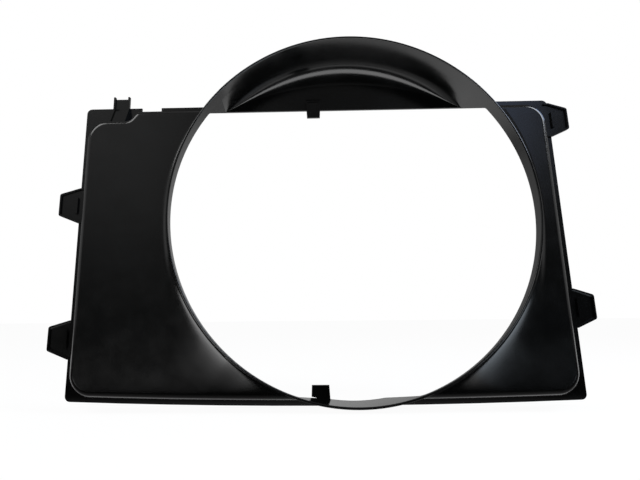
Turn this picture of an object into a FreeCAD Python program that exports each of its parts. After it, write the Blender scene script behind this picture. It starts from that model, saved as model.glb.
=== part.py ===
import FreeCAD, Part
import math
import os

from FreeCAD import Vector

os.makedirs("parts", exist_ok=True)

# Radiator fan shroud: one black injection moulding, built region by region.
# Millimetres. The origin is on the fan's axis, in the plane that meets the radiator.
# +X is to the right seen from the engine, +Y goes into the radiator, +Z is up.

wall = 3.0

# Fan ring
ringOuterRadius = 232.0
ringLip = 0.85             # the rim stands this far off the pan's face at the bottom
rimTilt = 3.0              # degrees, the rim stands further out at the top
ringBlend = 6.0            # concave radius between the pan's face and the ring

# Radiator flange, set out from the ring
flangeToLeft = 133.0       # from the ring's side to the flange's edge
flangeToRight = 53.0
ringBelow = 3.5            # the ring reaches this far below the flange's bottom corners
ringAbove = 65.5           # and this far above the flange's top edge
flangeThickness = 3.0
flangeCorner = 7.0
flangeStrip = 8.5          # width of the flange round the pan's hollow
bottomBow = 6.0            # the bottom edge hangs lower in its middle

# Raised pan
panDepth = 48.0
panInsetLeft = 23.0        # from the flange's edge to the pan's edge at its face
panInsetRight = 30.0
panInsetTop = 25.5
panInsetBottom = 14.2
panCorner = 26.0
panShoulder = 7.0          # rounding between the walls and the face
stepDrop = 12.0            # the pan's top left corner is this much lower, under the hose clip
stepWidth = 52.0
stepRun = 10.0

# Hood over the top of the ring
hoodBackDrop = 11.5        # the roof comes down this much from the rim to the back wall
hoodBlend = 20.0           # concave radius between the roof and the back wall
hoodSections = 5           # circles that carry the blend

# Mounting ears, shallow pockets open to the engine
leftEarReach = 27.5
rightEarReach = 24.5
earBase = 49.0
earTip = 30.0
earTopSlope = 8.0          # how far the top edge falls from base to tip
earDepth = 6.0
earWall = 2.0
earLap = 6.0               # the ear's ribs run on over the flange by this much
earRounding = 1.5
keyInset = 2.0             # small upright key on the ear's floor, from the flange's edge
keyWidth = 3.0
keyHeight = 22.0
keyDepth = 3.5
leftEarAboveBottom = 75.7  # from the flange's bottom corners to the middle of the ear's base
leftEarBelowTop = 141.9    # from the flange's top edge
rightEarAboveBottom = 110.0
rightEarBelowTop = 29.9

# Notch in the flange's top strip
notchFromLeft = 79.0
notchWidth = 28.0
notchDrop = 5.0

# Hose clip, a channel that stands on the flange and leans out down the pan's top wall
clipFromLeft = 39.0
clipWidth = 23.0
clipDepth = 5.0
clipWall = 2.5
clipRise = 13.0            # web above the flange's top edge
clipProng = 2.8            # prongs above the web
clipKink = 2.0             # the leg leans out from this far below the flange's top edge
clipDrop = 30.0            # leg below the flange's top edge
clipLean = 17.0            # how far it has leant out at its foot

# Locating fingers at the middle of the opening's top and bottom edges
fingersLeftOfAxis = 42.0
topFingerWidth = 20.5
topFingerTip = 17.7
bottomFingerWidth = 23.5
bottomFingerTip = 21.5
fingerThickness = 3.0
fingerStandOff = 5.0       # gap between the finger and the flange's front
topFingerReach = 14.0      # past the opening's edge
topFingerRoot = 14.0       # height of the finger's root above the opening's top edge
bottomFingerReach = 16.0   # above the ring's floor
fingerRib = 2.0
fingerBend = 2.7           # rounding where the top finger turns down from its arm

boreRadius = ringOuterRadius - wall
flangeLeft = -ringOuterRadius - flangeToLeft
flangeRight = ringOuterRadius + flangeToRight
flangeBottom = -ringOuterRadius + ringBelow
flangeTop = ringOuterRadius - ringAbove
flangeFront = -flangeThickness
flangeMiddle = (flangeLeft + flangeRight) / 2
flangeHalf = (flangeRight - flangeLeft) / 2
bowRadius = (flangeHalf ** 2 + bottomBow ** 2) / (2 * bottomBow)
bowCentre = flangeBottom - bottomBow + bowRadius
topEdge = flangeTop - flangeStrip
panFace = -panDepth
rimSlope = math.tan(math.radians(rimTilt))
rimOnAxis = panFace - ringLip - ringOuterRadius * rimSlope
rimTop = rimOnAxis - ringOuterRadius * rimSlope
past = 5.0                 # how far a cutting solid runs past what it cuts
far = 4 * flangeHalf       # beyond the part on every side
hair = 0.01                # two places closer than this are the same
frontLimit = rimTop - past

# The roof's section is the bore's circle at the rim, and a larger and lower one at the back
hoodHalf = math.sqrt(boreRadius ** 2 - topEdge ** 2)
backRise = boreRadius - hoodBackDrop - topEdge
backRadius = (hoodHalf ** 2 + backRise ** 2) / (2 * backRise)
backLower = backRadius - (boreRadius - hoodBackDrop)


def point(x, y, z):
    return Vector(x, y, z)


def line(a, b):
    return Part.LineSegment(a, b).toShape()


def arc(a, b, c):
    return Part.Arc(a, b, c).toShape()


def block(xLow, xHigh, yLow, yHigh, zLow, zHigh):
    return Part.makeBox(xHigh - xLow, yHigh - yLow, zHigh - zLow, point(xLow, yLow, zLow))


def slab(xLow=-far, xHigh=far, yLow=-far, yHigh=far, zLow=-far, zHigh=far):
    """Box that runs past the whole part on each side that has no limit."""
    return block(xLow, xHigh, yLow, yHigh, zLow, zHigh)


def disc(radius, yBack, yFront):
    """Solid cylinder on the fan's axis, from yBack towards the engine to yFront."""
    return Part.makeCylinder(radius, yBack - yFront, point(0, yBack, 0), point(0, -1, 0))


def outline(corners, y):
    """Closed polygon through corners given as (x, z), at depth y."""
    points = [point(x, y, z) for x, z in corners]
    return Part.makePolygon(points + points[:1])


def prism(wire, depth):
    """The outline, run towards the engine by depth."""
    return Part.Face(wire).extrude(point(0, -depth, 0))


def sideways(profile, xLow, width):
    """A profile of (y, z) corners, run to the right from xLow by width."""
    points = [point(xLow, y, z) for y, z in profile]
    return Part.Face(Part.makePolygon(points + points[:1])).extrude(point(width, 0, 0))


def tapered(backCorners, yBack, frontCorners, yFront):
    """Solid with flat slanted sides between two outlines with parallel edges."""
    back = [point(x, yBack, z) for x, z in backCorners]
    front = [point(x, yFront, z) for x, z in frontCorners]
    rings = [back, front]
    count = len(back)
    for i in range(count):
        j = (i + 1) % count
        rings.append([back[i], back[j], front[j], front[i]])
    faces = [Part.Face(Part.makePolygon(ring + ring[:1])) for ring in rings]
    return Part.Solid(Part.Shell(faces)).removeSplitter()


def bowed(solid, insetBack, insetFront, yBack, yFront):
    """The solid, with its bottom cut to the flange's bow at an inset that changes with depth."""
    cone = Part.makeCylinder(bowRadius - insetBack, yBack - yFront,
                             point(flangeMiddle, yBack, bowCentre), point(0, -1, 0))
    if abs(insetBack - insetFront) > hair:
        cone = Part.makeCone(bowRadius - insetBack, bowRadius - insetFront, yBack - yFront,
                             point(flangeMiddle, yBack, bowCentre), point(0, -1, 0))
    return solid.common(cone)


def alongY(edge):
    """True for an edge that runs front to back, which is a corner of an outline."""
    ends = edge.Vertexes
    if len(ends) < 2:
        return False
    run = ends[1].Point - ends[0].Point
    return abs(run.y) > math.hypot(run.x, run.z)


def panInset(atFace, y):
    """Inset of one of the pan's sides at depth y: the walls lean out to the flange's strip."""
    atFlange = flangeStrip - wall
    return atFlange + (atFace - atFlange) * y / panFace


def panCorners(y, shrink):
    """Corners of the pan's outline at depth y, moved in by shrink, with the bow left out."""
    left = flangeLeft + panInset(panInsetLeft, y) + shrink
    right = flangeRight - panInset(panInsetRight, y) - shrink
    top = flangeTop - panInset(panInsetTop, y) - shrink
    bottom = flangeBottom - bottomBow - past
    stepAt = flangeLeft + panInsetLeft + stepWidth + shrink
    low = top - stepDrop
    return [(left, bottom), (right, bottom), (right, top), (stepAt + stepRun, top),
            (stepAt, low), (left, low)]


def inStep(edge):
    """True for the two small corners of the step in the pan's top edge."""
    stepMiddle = flangeLeft + panInsetLeft + stepWidth + stepRun / 2
    middle = edge.BoundBox.Center
    return abs(middle.x - stepMiddle) < stepRun and middle.z > 0


def pan(shrink, yBack, yFront, corner, rounding):
    """Drafted box with rounded corners, a bowed bottom and a rounded edge round its face."""
    solid = tapered(panCorners(yBack, shrink), yBack, panCorners(yFront, shrink), yFront)
    solid = bowed(solid, panInset(panInsetBottom, yBack) + shrink,
                  panInset(panInsetBottom, yFront) + shrink, yBack, yFront)
    large = [e for e in solid.Edges if alongY(e) and not inStep(e)]
    solid = solid.makeFillet(corner, large)
    small = [e for e in solid.Edges if alongY(e) and inStep(e)]
    solid = solid.makeFillet(rounding, small)
    edge = [e for e in solid.Edges if e.BoundBox.YMax < yFront + hair]
    return solid.makeFillet(rounding, edge)


def flangePlate():
    low = flangeBottom - bottomBow - past
    plate = block(flangeLeft, flangeRight, flangeFront, 0.0, low, flangeTop)
    plate = bowed(plate, 0.0, 0.0, 0.0, flangeFront)
    plate = plate.makeFillet(flangeCorner, [e for e in plate.Edges if alongY(e)])
    notchLeft = flangeLeft + notchFromLeft
    notch = block(notchLeft, notchLeft + notchWidth, flangeFront - past, past,
                  flangeTop - notchDrop, flangeTop + past)
    return plate.cut(notch)


def roofCircle(skin, inset, y):
    """The roof's section at depth y, moved out by skin and in by inset."""
    back = (y - rimTop) / -rimTop
    radius = boreRadius + (backRadius - boreRadius) * back + skin - inset
    circle = Part.Circle(point(0, y, -backLower * back), point(0, -1, 0), radius)
    return Part.Wire(circle.toShape())


def roofSolid(skin, yBack, blend):
    """Everything under the roof, with a large rounding where it turns down at yBack."""
    start = yBack - blend
    cone = Part.makeLoft([roofCircle(skin, 0, frontLimit), roofCircle(skin, 0, start)], True, True)
    sections = []
    for i in range(hoodSections):
        turn = math.radians(90) * i / (hoodSections - 1)
        sections.append(roofCircle(skin, blend * (1 - math.cos(turn)),
                                   yBack - blend * (1 - math.sin(turn))))
    return cone.fuse(Part.makeLoft(sections, True))


def tube(skin, yBack, hoodBack):
    """The ring's cylinder, with the roof as its upper limit above the opening's top edge."""
    whole = disc(boreRadius + skin, yBack, frontLimit)
    below = whole.common(slab(zHigh=topEdge))
    roof = roofSolid(skin, hoodBack, hoodBlend + skin)
    above = whole.common(roof).common(slab(zLow=topEdge))
    return below.fuse(above)


def blendRing(radius, inside):
    """Ring of the section between the pan's face and the ring, under an arc of the given radius."""
    centreR = ringOuterRadius + ringBlend
    centreY = panFace - ringBlend
    corner = centreR - radius
    half = radius * math.cos(math.radians(45))
    start, end = point(centreR, centreY + radius, 0), point(corner, centreY, 0)
    mid = point(centreR - half, centreY + half, 0)
    deep = point(corner, centreY + radius, 0)
    section = Part.Face(Part.Wire([arc(start, mid, end), line(end, deep), line(deep, start)]))
    ring = section.revolve(point(0, 0, 0), point(0, 1, 0), 360)
    reach = prism(outline(panCorners(panFace, inside), 0.0), -frontLimit)
    inset = panInsetBottom + inside
    return ring.common(bowed(reach, inset, inset, 0.0, frontLimit))


def rimCut():
    """Everything past the rim, which leans out at the top."""
    cutter = slab(yHigh=rimOnAxis)
    cutter.rotate(point(0, rimOnAxis, 0), point(1, 0, 0), rimTilt)
    return cutter


def solidBody():
    """The moulding as if it were solid, which the ear, clip and fingers are fitted to."""
    body = flangePlate().fuse(pan(0.0, 0.0, panFace, panCorner, panShoulder))
    body = body.fuse(tube(wall, 0.0, 0.0))
    return body.fuse(blendRing(ringBlend, panShoulder))


def moulding(body):
    """The solid body, hollowed to its wall and cut at the rim."""
    hollow = pan(wall, past, panFace + wall, panCorner - wall, panShoulder - wall)
    hollow = hollow.fuse(tube(0.0, past, flangeFront))
    hollow = hollow.fuse(blendRing(ringBlend + wall, panShoulder))
    return body.cut(hollow).cut(rimCut())


def regions():
    """Names of the moulding's regions and the space of each, in the order they are taken."""
    panLow = flangeBottom - bottomBow + panInsetBottom
    sillHalf = math.sqrt(ringOuterRadius ** 2 - panLow ** 2) + 2 * wall
    foot = panInset(0.0, 0.0) + wall + hair
    wallLeft = flangeLeft + panInsetLeft + panCorner
    wallRight = flangeRight - panInsetRight - panCorner
    lid = panFace + panShoulder
    ringWall = disc(ringOuterRadius, flangeFront, panFace).common(slab(zLow=0))
    return [
        ("fan_ring", slab(yHigh=panFace)),
        ("hood_back_wall", slab(xLow=-hoodHalf, xHigh=hoodHalf, yLow=flangeFront, zLow=topEdge)),
        ("hood_roof", slab(yHigh=flangeFront, zLow=topEdge, xLow=-hoodHalf - 2 * wall,
                           xHigh=hoodHalf + 2 * wall)),
        ("hood_cheek_left", ringWall.common(slab(xHigh=0))),
        ("hood_cheek_right", ringWall.common(slab(xLow=0))),
        ("flange_left", slab(xHigh=flangeLeft + foot, yLow=flangeFront)),
        ("flange_right", slab(xLow=flangeRight - foot, yLow=flangeFront)),
        ("flange_top_left", slab(xHigh=0, yLow=flangeFront, zLow=0)),
        ("flange_top_right", slab(xLow=0, yLow=flangeFront, zLow=0)),
        ("flange_bottom", slab(yLow=flangeFront, zHigh=0)),
        ("ring_sill", slab(xLow=-sillHalf, xHigh=sillHalf, zHigh=0)),
        ("left_panel", slab(xHigh=0, yHigh=lid)),
        ("right_panel", slab(xLow=0, yHigh=lid)),
        ("pan_wall_left", slab(xHigh=wallLeft)),
        ("pan_wall_right", slab(xLow=wallRight)),
    ]


def quarters():
    """The four spaces that share out what is left of the pan's walls."""
    return [
        ("top_left", slab(xHigh=0, zLow=0)),
        ("top_right", slab(xLow=0, zLow=0)),
        ("bottom_left", slab(xHigh=0, zHigh=0)),
        ("bottom_right", slab(xLow=0, zHigh=0)),
    ]


def save(name, shape):
    """Writes one node, as one solid or as a group of separate ones."""
    solids = shape.removeSplitter().Solids
    node = solids[0] if len(solids) == 1 else Part.makeCompound(solids)
    node.exportStep("parts/" + name + ".step")
    print(name, len(solids), "solid(s)", round(node.Volume), "mm3", node.isValid())


def earCorners(side, reach, middle, inset, lap):
    """Outline of an ear: side is -1 at the flange's left edge and 1 at its right."""
    edge = flangeLeft if side < 0 else flangeRight
    high = middle + earBase / 2 - inset
    low = middle - earBase / 2 + inset
    tipHigh = middle + earBase / 2 - earTopSlope - inset
    tipLow = middle + earBase / 2 - earTopSlope - earTip + inset
    tip = reach - inset
    corners = [(-lap, low), (0, low), (tip, tipLow), (tip, tipHigh), (0, high), (-lap, high)]
    return [(edge + side * out, z) for out, z in corners]


def ear(side, reach, middle):
    """Tapered tongue beside the flange, with a rib round its edge and a key on its floor."""
    edge = flangeLeft if side < 0 else flangeRight
    tip = edge + side * reach

    def rounded(solid, radius):
        corners = [e for e in solid.Edges if alongY(e) and abs(e.BoundBox.Center.x - tip) < reach / 3]
        return solid.makeFillet(radius, corners)

    shell = rounded(prism(outline(earCorners(side, reach, middle, 0.0, earLap), 0.0), earDepth),
                    earRounding + earWall)
    pocket = rounded(prism(outline(earCorners(side, reach, middle, earWall, earLap + past), 0.0),
                           earDepth + past), earRounding)
    keyEnds = sorted((edge + side * keyInset, edge + side * (keyInset + keyWidth)))
    key = block(*keyEnds, flangeFront - keyDepth, flangeFront,
                middle - keyHeight / 2, middle + keyHeight / 2)
    return shell.cut(pocket.common(slab(yHigh=flangeFront))).fuse(key)


def hoseClip():
    """Channel of a web and two cheeks that end in prongs, its leg leaning out down the pan."""
    left = flangeLeft + clipFromLeft
    top = flangeTop + clipRise
    kink = flangeTop - clipKink
    foot = flangeTop - clipDrop

    def leg(depth, high):
        front = flangeFront - depth
        return [(0, high), (front, high), (front, kink), (front - clipLean, foot), (0, foot)]

    web = sideways(leg(clipWall, top), left, clipWidth)
    cheek = leg(clipDepth, top + clipProng)
    cheeks = [sideways(cheek, x, clipWall) for x in (left, left + clipWidth - clipWall)]
    return web.fuse(cheeks).common(slab(yHigh=flangeFront))


def finger(width, tipWidth, root, tip, y):
    """Tapered finger of plate with a rib along each side, its front face recessed between them."""
    half, tipHalf = width / 2, tipWidth / 2
    up = math.copysign(1, tip - root)
    plate = prism(outline([(-fingersLeftOfAxis + x, z) for x, z in (
        (-half, root), (half, root), (tipHalf, tip), (-tipHalf, tip))], y), fingerThickness)
    bottom = root + up * 2 * fingerRib
    top = tip - up * fingerRib
    recess = outline([(-fingersLeftOfAxis + x, z) for x, z in (
        (-half + fingerRib, bottom), (half - fingerRib, bottom), (tipHalf - fingerRib, top),
        (-tipHalf + fingerRib, top))], y - fingerThickness / 2)
    return plate.cut(prism(recess, fingerThickness))


def topFinger():
    """Finger on an arm from the hood's back wall, turned down past the opening's top edge."""
    y = flangeFront - fingerStandOff
    root = topEdge + topFingerRoot
    blade = finger(topFingerWidth, topFingerTip, root, topEdge - topFingerReach, y)
    half = topFingerWidth / 2 - fingerRib
    arm = block(-fingersLeftOfAxis - half, -fingersLeftOfAxis + half, y - fingerThickness,
                flangeFront, root - fingerThickness, root)
    whole = blade.fuse(arm).removeSplitter()
    bend = [e for e in whole.Edges if e.BoundBox.ZMin > root - hair and e.BoundBox.XLength > half
            and e.BoundBox.YMax < y - fingerThickness + hair]
    return whole.makeFillet(fingerBend, bend)


def bottomFinger(body):
    """Finger standing on the ring's floor, in front of the opening's bottom edge."""
    y = flangeFront - fingerStandOff
    floor = -math.sqrt(boreRadius ** 2 - fingersLeftOfAxis ** 2)
    blade = finger(bottomFingerWidth, bottomFingerTip, floor - wall, floor + bottomFingerReach, y)
    return blade.cut(body).common(disc(boreRadius, 0, frontLimit))


def main():
    outside = solidBody()
    body = moulding(outside)
    rest = body
    for name, space in regions():
        save(name, rest.common(space))
        rest = rest.cut(space)
    for name, space in quarters():
        save("pan_wall_" + name, rest.common(space))
    ears = {
        "ear_left_lower": (-1, leftEarReach, flangeBottom + leftEarAboveBottom),
        "ear_left_upper": (-1, leftEarReach, flangeTop - leftEarBelowTop),
        "ear_right_lower": (1, rightEarReach, flangeBottom + rightEarAboveBottom),
        "ear_right_upper": (1, rightEarReach, flangeTop - rightEarBelowTop),
    }
    for name, (side, reach, middle) in ears.items():
        save(name, ear(side, reach, middle).cut(outside))
    save("hose_clip", hoseClip().cut(outside))
    save("top_finger", topFinger())
    save("bottom_finger", bottomFinger(body))


main()
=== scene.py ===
import math

import bmesh
import bpy
from mathutils import Matrix, Vector


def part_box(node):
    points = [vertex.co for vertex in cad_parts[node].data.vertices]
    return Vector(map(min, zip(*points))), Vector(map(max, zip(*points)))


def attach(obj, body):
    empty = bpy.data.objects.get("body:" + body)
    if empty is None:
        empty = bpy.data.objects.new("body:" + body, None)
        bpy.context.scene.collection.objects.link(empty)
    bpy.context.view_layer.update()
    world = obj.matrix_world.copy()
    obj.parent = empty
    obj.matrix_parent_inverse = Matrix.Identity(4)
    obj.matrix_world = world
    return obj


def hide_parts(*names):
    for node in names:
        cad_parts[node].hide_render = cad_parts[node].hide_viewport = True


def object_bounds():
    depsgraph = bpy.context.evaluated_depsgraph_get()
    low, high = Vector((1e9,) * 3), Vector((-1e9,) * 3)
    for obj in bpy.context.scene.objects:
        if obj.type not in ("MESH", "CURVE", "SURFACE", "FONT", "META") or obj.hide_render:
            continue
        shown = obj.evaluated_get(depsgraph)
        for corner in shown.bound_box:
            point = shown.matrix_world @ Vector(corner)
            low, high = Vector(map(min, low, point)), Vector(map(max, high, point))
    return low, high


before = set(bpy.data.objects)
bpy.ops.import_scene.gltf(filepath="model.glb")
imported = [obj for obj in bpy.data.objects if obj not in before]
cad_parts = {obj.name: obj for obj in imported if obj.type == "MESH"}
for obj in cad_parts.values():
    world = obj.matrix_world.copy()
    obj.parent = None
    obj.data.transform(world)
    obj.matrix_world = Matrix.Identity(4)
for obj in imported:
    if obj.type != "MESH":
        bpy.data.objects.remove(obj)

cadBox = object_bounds()
white = (1.0, 1.0, 1.0, 1.0)
print("frame loaded:", len(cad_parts), "nodes")


class Value:
    # one output socket of a finish, with arithmetic

    def __init__(self, finish, socket):
        self.finish = finish
        self.socket = socket

    def maths(self, operation, first, second):
        return self.finish.add("ShaderNodeMath", {"operation": operation}, {0: first, 1: second})

    def __add__(self, other):
        return self.maths("ADD", self, other)

    def __radd__(self, other):
        return self.maths("ADD", other, self)

    def __sub__(self, other):
        return self.maths("SUBTRACT", self, other)

    def __rsub__(self, other):
        return self.maths("SUBTRACT", other, self)

    def __mul__(self, other):
        return self.maths("MULTIPLY", self, other)

    def __rmul__(self, other):
        return self.maths("MULTIPLY", other, self)

    def size(self):
        return self.maths("ABSOLUTE", self, 0.0)

    def within(self, low, high):
        # 0 at low, 1 at high, smooth between them
        settings = {"interpolation_type": "SMOOTHSTEP"}
        inputs = {"Value": self, "From Min": low, "From Max": high}
        return self.finish.add("ShaderNodeMapRange", settings, inputs)


class Finish:
    # a material or world, filled in node by node

    def __init__(self, owner):
        owner.use_nodes = True
        self.tree = owner.node_tree
        self.tree.nodes.clear()

    def add(self, kind, settings=None, inputs=None, output=0):
        node = self.tree.nodes.new(kind)
        for name, value in (settings or {}).items():
            setattr(node, name, value)
        for name, value in (inputs or {}).items():
            if isinstance(value, Value):
                self.tree.links.new(value.socket, node.inputs[name])
            else:
                node.inputs[name].default_value = value
        return Value(self, node.outputs[output]) if node.outputs else None

    def parts(self, vector):
        # its three coordinates
        split = self.add("ShaderNodeSeparateXYZ", {}, {0: vector}).socket.node
        return [Value(self, socket) for socket in split.outputs]

    def rays(self):
        # camera rays, and those that a shiny or clear surface sends on
        paths = self.add("ShaderNodeLightPath").socket.node.outputs
        glossy = Value(self, paths["Is Glossy Ray"])
        clear = Value(self, paths["Is Transmission Ray"])
        return Value(self, paths["Is Camera Ray"]), (glossy + clear).within(0.0, 1.0)

    def mixed(self, amount, first, second):
        # a colour between two, by amount
        settings = {"data_type": "RGBA"}
        return self.add("ShaderNodeMix", settings, {"Factor": amount, 6: first, 7: second}, 2)

    def noise(self, place, scale, detail, roughness=0.5):
        inputs = {"Vector": place, "Scale": scale, "Detail": detail, "Roughness": roughness}
        return self.add("ShaderNodeTexNoise", {}, inputs)


# Black moulded plastic

plastic = {
    "body": (0.0009, 0.0010, 0.0010, 1.0),
    "worn": (0.0020, 0.0021, 0.0021, 1.0),
    "cloudSize": 9.0,
    "smearSize": 38.0,
    "wearLow": 0.42,
    "wearHigh": 0.66,
    "roughness": 0.17,
    "smearGloss": 0.12,          # how far smears and clouds change the roughness
    "cloudGloss": 0.10,
    "grainSize": 1800.0,
    "grainDepth": 0.000012,
    "waveSize": 7.0,
    "ripple": 0.00035,           # the flat panels aren't quite flat
}


def blackPlastic(name, settings):
    material = bpy.data.materials.new(name)
    finish = Finish(material)
    place = finish.add("ShaderNodeTexCoord", output=3)
    cloud = finish.noise(place, settings["cloudSize"], 4.0)
    smear = finish.noise(place, settings["smearSize"], 5.0, 0.62)
    grain = finish.noise(place, settings["grainSize"], 1.0)
    wave = finish.noise(place, settings["waveSize"], 1.0)
    wear = (cloud * 0.6 + smear * 0.4).within(settings["wearLow"], settings["wearHigh"])
    colour = finish.mixed(wear, settings["body"], settings["worn"])
    roughness = settings["roughness"] + (smear - 0.5) * settings["smearGloss"]
    roughness = roughness + (cloud - 0.5) * settings["cloudGloss"]
    bump = finish.add("ShaderNodeBump", {}, {
        "Strength": 1.0, "Distance": 1.0,
        "Height": wave * settings["ripple"] + grain * settings["grainDepth"]})
    shader = finish.add("ShaderNodeBsdfPrincipled", {}, {
        "Base Color": colour, "Roughness": roughness, "Normal": bump, "IOR": 1.5})
    finish.add("ShaderNodeOutputMaterial", {}, {"Surface": shader})
    return material


blackFinish = blackPlastic("blackPlastic", plastic)
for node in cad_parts.values():
    for slot in node.material_slots:
        slot.material = blackFinish
print("finishes made")


# Places that the pieces share

flange = {
    "left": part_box("flange_left")[0][0],
    "right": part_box("flange_right")[1][0],
    "top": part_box("flange_left")[1][2],
    "bottom": -0.2285,
    "bow": 0.006,                # the bottom edge hangs lower in its middle
}
ringRadius = -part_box("fan_ring")[0][2]
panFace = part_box("hood_roof")[0][1]
sharpAngle = 40
tiny = 0.00002


def sag(x):
    middle = (flange["left"] + flange["right"]) / 2
    half = (flange["right"] - flange["left"]) / 2
    return flange["bow"] * (1 - ((x - middle) / half) ** 2)


def looseObject(name, bm):
    mesh = bpy.data.meshes.new(name)
    bm.to_mesh(mesh)
    bm.free()
    item = bpy.data.objects.new(name, mesh)
    bpy.context.scene.collection.objects.link(item)
    return item


def steady(bm):
    # spin and extrude leave faces and edges in any order: this one is the same each run
    bm.verts.index_update()
    count = len(bm.verts)
    for items in (bm.faces, bm.edges):
        items.sort(key=lambda item: min(v.index for v in item.verts) * count
                   + sum(v.index for v in item.verts) / len(item.verts))


def settle(item):
    # its modifiers become its mesh
    bpy.context.view_layer.update()
    ready = item.evaluated_get(bpy.context.evaluated_depsgraph_get())
    mesh = bpy.data.meshes.new_from_object(ready)
    item.modifiers.clear()
    item.data = mesh


def thicken(item, wall):
    # inwards, by the wall
    shell = item.modifiers.new("shell", "SOLIDIFY")
    shell.thickness = wall
    shell.offset = -1
    settle(item)


def trim(item, cutter, operation):
    cut = item.modifiers.new("trim", "BOOLEAN")
    cut.operation = operation
    cut.solver = "EXACT"
    cut.object = cutter
    settle(item)
    bpy.data.objects.remove(cutter)


def dress(item, *nodes):
    # finish, body and the nodes that the piece stands for
    item.data.materials.clear()
    item.data.materials.append(blackFinish)
    for face in item.data.polygons:
        face.use_smooth = True
    item.data.set_sharp_from_angle(angle=math.radians(sharpAngle))
    even = item.modifiers.new("even", "WEIGHTED_NORMAL")
    even.keep_sharp = True
    even.weight = 100
    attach(item, "root")
    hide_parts(*nodes)
    print(item.name, len(item.data.polygons), "faces")


# Pan face with its rounded shoulder

pan = {
    "back": 0.041,               # where the shoulder starts on the walls
    "inset": {"left": 0.023, "right": 0.030, "top": 0.0255, "bottom": 0.0142},
    "foot": 0.0055,
    "stepWidth": 0.052,
    "stepRun": 0.010,
    "stepDrop": 0.012,
    "corner": 0.026,
    "cornerSteps": 14,
    "smallCorner": 0.0035,
    "smallCornerSteps": 4,
    "bowSteps": 40,
    "shoulder": 0.007,
    "shoulderSteps": 8,
    "shoulderStart": 0.125,      # of the shoulder, so that the first step moves in too
    "lean": 20,                  # degrees that the walls lean, about
    "wall": 0.003,
    "holeInset": 0.0015,         # the face's hole lies in the middle of the ring's wall
    "holeSteps": 200,
    "holeLength": 0.08,
}


def panOutline(depth, shrink=0.0):
    # one face, its corners rounded and its bottom edge bowed
    share = depth / -panFace
    inset = {side: pan["foot"] + (value - pan["foot"]) * share for side, value in pan["inset"].items()}
    left = flange["left"] + inset["left"] + shrink
    right = flange["right"] - inset["right"] - shrink
    top = flange["top"] - inset["top"] - shrink
    bottom = flange["bottom"] + inset["bottom"] + shrink
    step = flange["left"] + pan["inset"]["left"] + pan["stepWidth"] + shrink
    low = top - pan["stepDrop"]
    corners = [(left, bottom), (right, bottom), (right, top), (step + pan["stepRun"], top),
               (step, low), (left, low)]
    near = 0.0001
    bm = bmesh.new()
    verts = [bm.verts.new((x, -depth, z)) for x, z in corners]
    bm.faces.new(verts)
    for radius, steps, points in (
            (pan["corner"] - shrink, pan["cornerSteps"], corners[:3] + corners[5:]),
            (pan["smallCorner"], pan["smallCornerSteps"], corners[3:5])):
        bend = [v for v in bm.verts if min(math.dist((v.co.x, v.co.z), p) for p in points) < near]
        bmesh.ops.bevel(bm, geom=bend, offset=radius, segments=steps, profile=0.5,
                        affect="VERTICES", material=-1)
    under = [e for e in bm.edges if all(v.co.z < bottom + near for v in e.verts)]
    bmesh.ops.subdivide_edges(bm, edges=under, cuts=pan["bowSteps"])
    for v in bm.verts:
        if v.co.z < 0:
            v.co.z -= sag(v.co.x)
    face = bm.faces[:][0]
    face.normal_update()
    if face.normal.y > 0:
        face.normal_flip()
    return bm


def addPanels():
    bm = panOutline(pan["back"])
    face = bm.faces[:][0]
    radius = pan["shoulder"]
    lean = math.radians(pan["lean"])
    done = Vector((0.0, 0.0))
    for i in range(pan["shoulderSteps"]):
        turn = lean + (math.radians(90) - lean) * i / (pan["shoulderSteps"] - 1)
        place = Vector((math.cos(lean) - math.cos(turn), math.sin(turn))) * radius
        place.x += radius * pan["shoulderStart"]
        bmesh.ops.inset_region(bm, faces=[face], thickness=place.x - done.x, depth=place.y - done.y,
                               use_even_offset=True, use_boundary=True)
        done = place
    panels = looseObject("panels", bm)
    thicken(panels, pan["wall"])
    hole = ringRadius - pan["holeInset"]
    bm = bmesh.new()
    bmesh.ops.create_cone(bm, cap_ends=True, segments=pan["holeSteps"], radius1=hole, radius2=hole,
                          depth=pan["holeLength"])
    bmesh.ops.rotate(bm, verts=bm.verts, matrix=Matrix.Rotation(math.radians(90), 3, "X"))
    bmesh.ops.translate(bm, verts=bm.verts, vec=(0, panFace, 0))
    trim(panels, looseObject("hole", bm), "DIFFERENCE")
    dress(panels, "left_panel", "right_panel")


# Fan ring with a rounded rim

ring = {
    "wall": 0.003,
    "lip": 0.00085,              # height over the face at the bottom
    "tilt": 3.0,
    "steps": 240,
    "rimSteps": 8,
}
bore = ringRadius - ring["wall"]


def ringHeight(z):
    return ring["lip"] + (z + ringRadius) * math.tan(math.radians(ring["tilt"]))


def spun(profile):
    # a closed outline of radius and depth, turned round the fan's axis
    bm = bmesh.new()
    verts = [bm.verts.new((radius, y, 0)) for radius, y in profile]
    edges = [bm.edges.new((verts[i - 1], verts[i])) for i in range(len(verts))]
    bmesh.ops.spin(bm, geom=verts + edges, cent=(0, 0, 0), axis=(0, 1, 0), angle=math.radians(360),
                   steps=ring["steps"], use_merge=True)
    steady(bm)
    return bm


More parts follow.
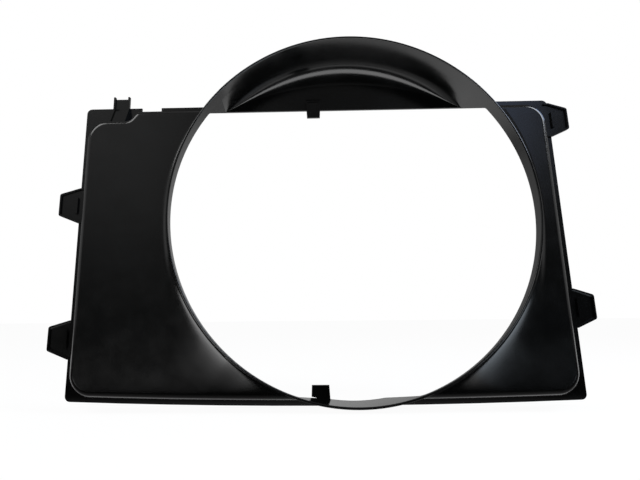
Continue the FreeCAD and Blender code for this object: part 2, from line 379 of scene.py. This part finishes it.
def addRing():
    # the rim is spun at a depth of 1 m, then moved to its own height all round
    half = ring["wall"] / 2
    turns = [math.radians(180) * i / ring["rimSteps"] for i in range(ring["rimSteps"] + 1)]
    rim = [(ringRadius - half - half * math.cos(a), -1 - half * math.sin(a)) for a in turns]
    root = panFace + ring["wall"]
    bm = spun([(ringRadius, root), (ringRadius - ring["wall"], root)] + rim)
    for v in bm.verts:
        if v.co.y < -0.5:
            v.co.y += 1 + half + panFace - ringHeight(v.co.z)
        if v.co.z > topEdge and abs(v.co.x) < hoodHalf:
            skin = math.hypot(v.co.x, v.co.z) - bore
            v.co.z = topEdge + roofHeight(v.co.x, v.co.y, skin)
    bmesh.ops.recalc_face_normals(bm, faces=bm.faces)
    fanRing = looseObject("fanRing", bm)
    dress(fanRing, "fan_ring")


# Flare, where the pan's face rises to the ring

flareForm = {
    "height": 0.8,               # of the ring's height over the face
    "highest": 0.007,
    "width": 0.008,
    "widest": 0.040,             # at the ring's lower corners
    "upper": 0.009,              # wider by this at the upper right
    "steps": 10,
    "edge": 0.7,                 # of the shoulder, where the flare ends
    "cutBack": 0.002,
    "cutLength": 0.04,
}


def addFlare():
    # the curve is spun 1 m wide and 1 m high, then brought to its own width and height all round
    curve = [(math.radians(90) * i / flareForm["steps"]) for i in range(flareForm["steps"] + 1)]
    inner = ringRadius - ring["wall"] / 2
    below = panFace + 0.001
    bm = spun([(ringRadius + 1 - math.sin(a), -1 - (1 - math.cos(a))) for a in curve]
              + [(inner, -2), (inner, below), (ringRadius + 1, below)])
    for v in bm.verts:
        radius = math.hypot(v.co.x, v.co.z)
        along, up = v.co.x / radius, v.co.z / radius
        low = max(0.0, -2 * abs(along) * up) ** 3
        height = min(ringHeight(ringRadius * up) * flareForm["height"], flareForm["highest"])
        high = max(0.0, 2 * along * up) ** 2
        width = flareForm["width"] + (flareForm["widest"] - flareForm["width"]) * low
        width += flareForm["upper"] * high
        if radius > ringRadius:
            radius = ringRadius + (radius - ringRadius) * width
        y = panFace - tiny - (-1 - v.co.y) * height if v.co.y < -0.5 else v.co.y
        v.co = (along * radius, y, up * radius)
    bmesh.ops.recalc_face_normals(bm, faces=bm.faces)
    flare = looseObject("flare", bm)
    outline = panOutline(-panFace, pan["shoulder"] * flareForm["edge"])
    made = bmesh.ops.extrude_face_region(outline, geom=outline.faces[:])
    verts = [v for v in made["geom"] if isinstance(v, bmesh.types.BMVert)]
    bmesh.ops.translate(outline, verts=verts, vec=(0, -flareForm["cutLength"], 0))
    bmesh.ops.translate(outline, verts=outline.verts, vec=(0, flareForm["cutBack"], 0))
    steady(outline)
    bmesh.ops.recalc_face_normals(outline, faces=outline.faces)
    trim(flare, looseObject("face", outline), "INTERSECT")
    dress(flare, "fan_ring")


# Hood over the ring's top

hood = {
    "backDrop": 0.0115,          # the roof comes down this much from the rim to the back wall
    "blend": 0.022,              # concave rounding between the roof and the back wall
    "wall": 0.003,
    "front": 0.0005,             # starts this far inside the pan's face
    "across": 96,
    "overlap": 0.0006,           # its ends go this far into the cheeks
    "straight": 6,
    "rounded": 14,
}
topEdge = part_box("hood_roof")[0][2]
hoodHalf = math.sqrt(bore ** 2 - topEdge ** 2)
backRise = bore - hood["backDrop"] - topEdge
backRadius = (hoodHalf ** 2 + backRise ** 2) / (2 * backRise)


def roofHeight(x, y, skin=0.0):
    # the hood's roof over the opening's top edge
    share = 1 - y / (panFace - ringHeight(ringRadius))
    radius = bore + (backRadius - bore) * share + skin
    lower = (backRadius - bore + hood["backDrop"]) * share
    return math.sqrt(radius ** 2 - x ** 2) - lower - topEdge


def addHood():
    # a grid bent into the roof, the rounding and the back wall
    back = -hood["wall"]
    straight = panFace + hood["front"]
    start = back - hood["blend"]
    rows = [(straight + (start - straight) * i / hood["straight"], 0.0) for i in range(hood["straight"])]
    for i in range(hood["rounded"] + 1):
        turn = math.radians(90) * i / hood["rounded"]
        rows.append((back - hood["blend"] * (1 - math.sin(turn)), hood["blend"] * (1 - math.cos(turn))))
    rows.append((back, None))
    bm = bmesh.new()
    bmesh.ops.create_grid(bm, x_segments=hood["across"], y_segments=len(rows) - 1, size=1)
    for v in bm.verts:
        y, inset = rows[round((v.co.y + 1) / 2 * (len(rows) - 1))]
        x = v.co.x * (hoodHalf + hood["overlap"])
        keep = 0.0 if inset is None else 1 - inset / roofHeight(0, y)
        v.co = (x, y, topEdge + keep * roofHeight(x, y))
    bmesh.ops.remove_doubles(bm, verts=bm.verts, dist=tiny)
    bm.normal_update()
    if sum(f.normal.y + f.normal.z for f in bm.faces) > 0:
        bmesh.ops.reverse_faces(bm, faces=bm.faces)
    hoodShell = looseObject("hood", bm)
    thicken(hoodShell, hood["wall"])
    dress(hoodShell, "hood_roof", "hood_back_wall")


addPanels()
addRing()
addFlare()
addHood()
print("moulding made")


# Camera

view = {
    "eye": (-0.0769, -0.6658, -0.1259),
    "pitch": 0.223,
    "turn": 0.027,
    "roll": -0.009,
    "lens": 28.125,
    "shift": (0.0679, -0.0575),
}


def addCamera(settings):
    data = bpy.data.cameras.new("camera")
    data.sensor_width = 36.0
    data.lens = settings["lens"]
    data.shift_x, data.shift_y = settings["shift"]
    data.clip_start = 0.01
    camera = bpy.data.objects.new("camera", data)
    bpy.context.scene.collection.objects.link(camera)
    facing = Matrix.Rotation(settings["turn"], 4, "Z")
    facing = facing @ Matrix.Rotation(math.radians(90) + settings["pitch"], 4, "X")
    facing = facing @ Matrix.Rotation(settings["roll"], 4, "Z")
    camera.matrix_world = Matrix.Translation(settings["eye"]) @ facing
    bpy.context.scene.camera = camera


# Floor, white to the camera; shiny surfaces see it dark in front and white behind

ground = {
    "drop": 0.002,
    "size": 12.0,
    "colour": (0.8, 0.8, 0.8, 1.0),
    "dark": 0.02,
    "farLoss": 0.8,
    "whiteShare": 0.9,           # the rest keeps the object's shadow
    "glow": 1.06,
}


def addFloor(settings):
    bm = bmesh.new()
    bmesh.ops.create_grid(bm, x_segments=1, y_segments=1, size=settings["size"])
    bmesh.ops.translate(bm, verts=bm.verts, vec=(0, 0, cadBox[0][2] - settings["drop"]))
    floor = looseObject("floor", bm)
    material = bpy.data.materials.new("paleFloor")
    finish = Finish(material)
    camera, glossy = finish.rays()
    depth = finish.parts(finish.add("ShaderNodeTexCoord", output=3))[1]
    far = depth.within(0.3, 3.5)
    near = depth.within(-0.10, 0.10) * (1.0 - far * settings["farLoss"])
    level = settings["dark"] + near * (1.0 - settings["dark"])
    matt = finish.add("ShaderNodeBsdfDiffuse", {}, {"Color": settings["colour"]})
    glow = finish.add("ShaderNodeEmission", {}, {
        "Color": white, "Strength": camera * settings["glow"] + glossy * level})
    both = finish.add("ShaderNodeMixShader", {}, {
        0: camera * settings["whiteShare"] + glossy, 1: matt, 2: glow})
    finish.add("ShaderNodeOutputMaterial", {}, {"Surface": both})
    floor.data.materials.append(material)


# Room round the object, as shiny surfaces see it

room = {
    "front": 0.012,              # dark in front, lighter above
    "frontTop": 0.40,
    "frontRight": 0.25,          # of that, on the right
    "side": 0.62,
    "topLoss": 0.40,
    "behindLoss": 0.45,
    "window": 1.3,               # blue, up on the right in front
    "windowColour": (0.55, 0.68, 1.0, 1.0),
}


def addWorld(settings):
    world = bpy.data.worlds.new("studio")
    bpy.context.scene.world = world
    finish = Finish(world)
    camera = finish.rays()[0]
    across, depth, height = finish.parts(finish.add("ShaderNodeTexCoord", output=0))
    right = settings["frontRight"]
    share = right + across.within(-0.02, -0.30) * (1.0 - right)
    front = settings["front"] + height.within(-0.08, 0.40) * settings["frontTop"] * share
    aside = depth.within(-0.80, -0.50)
    behind = depth.within(0.0, 0.5)
    side = settings["side"] - height.within(0.15, 0.70) * settings["topLoss"]
    side = side - across.size() * behind * settings["behindLoss"]
    level = front * (1.0 - aside) + side * aside
    window = across.within(0.26, 0.38) * across.within(0.45, 0.41) * height.within(0.10, 0.34)
    window = window * (1.0 - aside) * (1.0 - camera)
    level = level * (1.0 - camera) + camera + window * settings["window"]
    colour = finish.mixed(window, white, settings["windowColour"])
    back = finish.add("ShaderNodeBackground", {}, {"Color": colour, "Strength": level})
    finish.add("ShaderNodeOutputWorld", {}, {"Surface": back})


# Lamps: two high ones, a window, and low ones in front that light the hood from below and the
# flare's lower corners

low = cadBox[0][2] + 0.004
lamps = [
    {"name": "left", "place": (-1.1, -0.7, 1.0), "size": (0.7, 0.7), "power": 7.0},
    {"name": "window", "place": (1.2, 0.0, 0.75), "aim": (0.2, 0.0, 0.1), "size": (0.5, 0.5),
     "power": 3.0, "colour": (0.45, 0.62, 1.0)},
    {"name": "right", "place": (1.2, -0.6, 0.9), "size": (0.5, 0.8), "power": 12.0,
     "colour": (0.86, 0.92, 1.0)},
    {"name": "below", "place": (0.0, -0.26, low), "aim": (0.0, -0.24, 1.0), "size": (0.4, 0.22),
     "power": 0.8, "spread": 158},
    {"name": "lowLeft", "place": (-0.425, -0.26, low), "aim": (-0.425, -0.24, 1.0),
     "size": (0.45, 0.22), "power": 2.0, "spread": 159},
    {"name": "lowRight", "place": (0.425, -0.26, low), "aim": (0.425, -0.24, 1.0),
     "size": (0.45, 0.22), "power": 1.7, "colour": (0.80, 0.90, 1.0), "spread": 159},
]


def addLamp(name, place, size, power, aim=(0.0, 0.0, 0.0), colour=(1.0, 1.0, 1.0), spread=180):
    data = bpy.data.lights.new(name, "AREA")
    data.shape = "RECTANGLE"
    data.size, data.size_y = size
    data.energy = power
    data.color = colour
    data.spread = math.radians(spread)
    lamp = bpy.data.objects.new(name, data)
    bpy.context.scene.collection.objects.link(lamp)
    facing = (Vector(aim) - Vector(place)).to_track_quat("-Z", "Y").to_matrix().to_4x4()
    lamp.matrix_world = Matrix.Translation(place) @ facing
    lamp.visible_camera = False


addCamera(view)
addFloor(ground)
addWorld(room)
for settings in lamps:
    addLamp(**settings)
print("studio set")

bpy.context.scene.view_settings.view_transform = "Standard"
